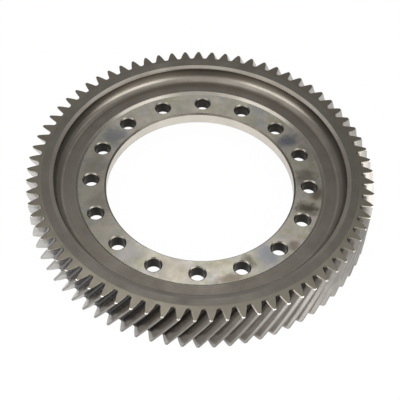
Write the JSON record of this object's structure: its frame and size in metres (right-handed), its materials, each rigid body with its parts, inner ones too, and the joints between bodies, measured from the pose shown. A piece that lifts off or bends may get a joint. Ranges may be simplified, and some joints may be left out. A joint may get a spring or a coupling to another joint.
{
  "type": "helical ring gear",
  "caption": "Helical ring gear: a toothed rim, a recessed web and a thinner bored flange with a circle of bolt holes.",
  "frame": {"origin": "on the bore axis, half way through the face width", "axes": "+Z along the bore axis, towards the ground seating face that the bolt heads or the carrier bear on; +X through the middle of a bolt hole"},
  "size_m": [0.2354, 0.2354, 0.0344],
  "materials": {
    "steel": "case-hardened steel, turned web, ground flange face, hobbed teeth"
  },
  "bodies": {
    "root": {"ring_gear": "steel"}
  },
  "joints": []
}
